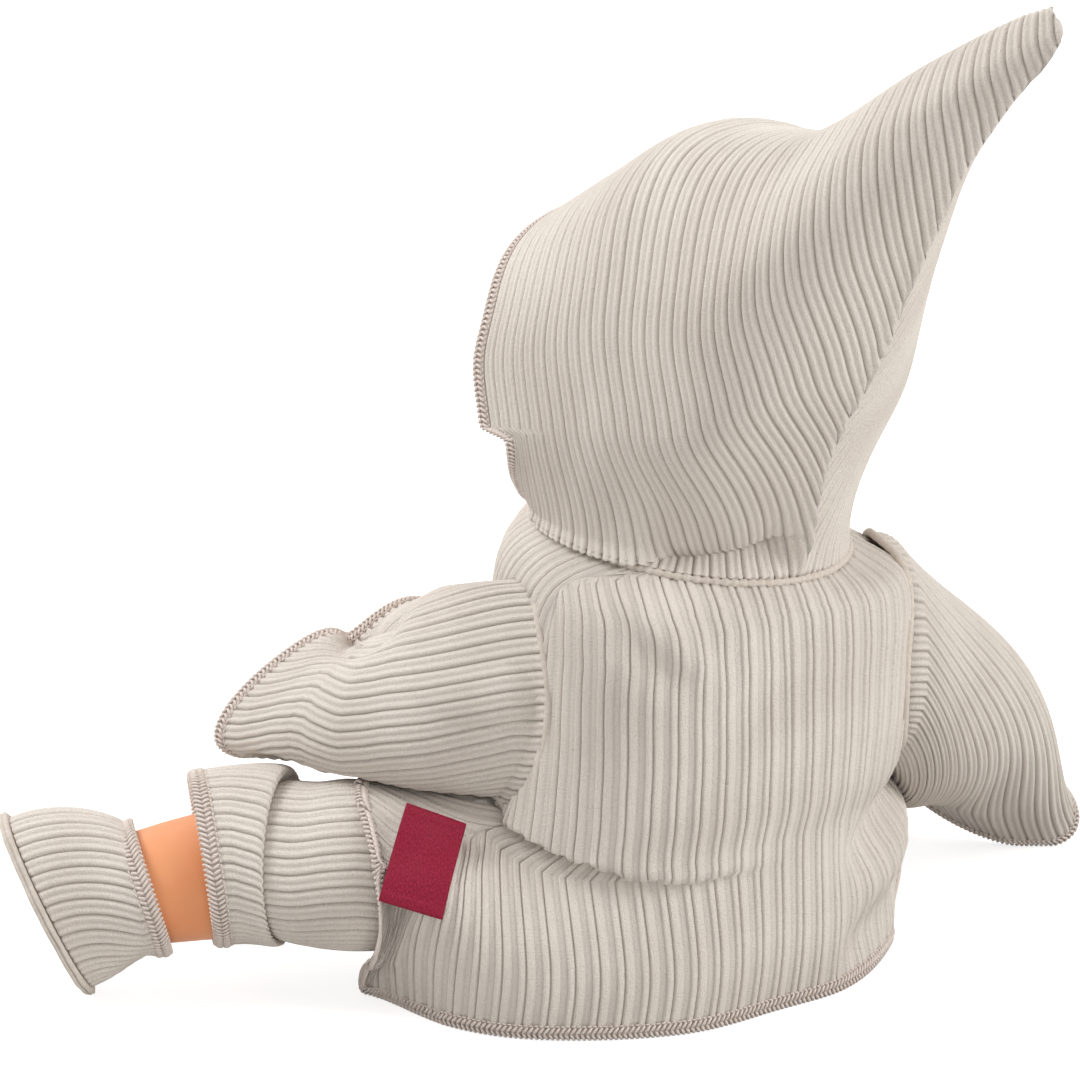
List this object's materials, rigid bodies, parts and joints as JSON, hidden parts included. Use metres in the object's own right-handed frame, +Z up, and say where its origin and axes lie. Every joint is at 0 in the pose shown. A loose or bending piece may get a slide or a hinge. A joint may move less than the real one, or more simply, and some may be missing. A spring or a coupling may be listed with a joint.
{
  "type": "baby doll",
  "caption": "Soft-bodied baby doll sitting on the floor in a ribbed knit hooded suit with wide sleeves, trousers and booties; head, arms and legs turn.",
  "frame": {"origin": "middle of the flat face of the trouser seat that the doll sits on", "axes": "+Z up from the floor; the doll faces -Y; its own left side is +X"},
  "size_m": [0.2882, 0.2622, 0.277],
  "materials": {
    "rib_knit": "matt ribbed cotton knit",
    "overlock": "matt stitched edge",
    "body_cloth": "matt woven cotton",
    "fibre": "loose polyester fibre",
    "cord": "matt twisted cord",
    "satin": "woven satin ribbon",
    "vinyl": "soft matt vinyl",
    "eye": "polished"
  },
  "bodies": {
    "torso": {"body_cover": "body_cloth", "body_filling": "fibre", "neck_tie": "cord", "trouser_seat": "rib_knit", "waistband": "overlock", "jacket_back": "rib_knit", "jacket_front_left": "rib_knit", "jacket_front_right": "rib_knit", "hook_strip": "cord", "loop_strip": "cord", "side_label": "satin"},
    "head": {"head_shell": "vinyl", "eye_left": "eye", "eye_right": "eye", "hood": "rib_knit"},
    "arm_left": {"upper_arm_left": "body_cloth", "arm_tie_left": "cord", "forearm_left": "vinyl", "sleeve_left": "rib_knit"},
    "arm_right": {"upper_arm_right": "body_cloth", "arm_tie_right": "cord", "forearm_right": "vinyl", "sleeve_right": "rib_knit"},
    "leg_left": {"thigh_left": "body_cloth", "leg_tie_left": "cord", "lower_leg_left": "vinyl", "trouser_leg_left": "rib_knit", "bootie_upper_left": "rib_knit", "bootie_sole_left": "overlock"},
    "leg_right": {"thigh_right": "body_cloth", "leg_tie_right": "cord", "lower_leg_right": "vinyl", "trouser_leg_right": "rib_knit", "bootie_upper_right": "rib_knit", "bootie_sole_right": "overlock"}
  },
  "joints": [
    {"name": "neck_turn", "type": "hinge", "parent": "torso", "child": "head", "pos_m": [0, 0, 0.112], "axis": [0, 0, 1], "range_deg": [-55, 35]},
    {"name": "shoulder_left", "type": "hinge", "parent": "torso", "child": "arm_left", "pos_m": [0.05, -0.003, 0.086], "axis": [-1, 0, 0], "range_deg": [-8, 70], "deforming": ["sleeve_left"]},
    {"name": "shoulder_right", "type": "hinge", "parent": "torso", "child": "arm_right", "pos_m": [-0.05, 0.015, 0.086], "axis": [-1, 0, 0], "range_deg": [-15, 90], "deforming": ["sleeve_right"]},
    {"name": "hip_left", "type": "hinge", "parent": "torso", "child": "leg_left", "pos_m": [0.038, -0.005, 0.031], "axis": [-1, 0, 0], "range_deg": [-75, 15], "deforming": ["trouser_leg_left", "jacket_front_left", "jacket_back", "side_label"]},
    {"name": "hip_right", "type": "hinge", "parent": "torso", "child": "leg_right", "pos_m": [-0.038, -0.005, 0.031], "axis": [-1, 0, 0], "range_deg": [-75, 15], "deforming": ["trouser_leg_right", "jacket_front_right"]}
  ]
}
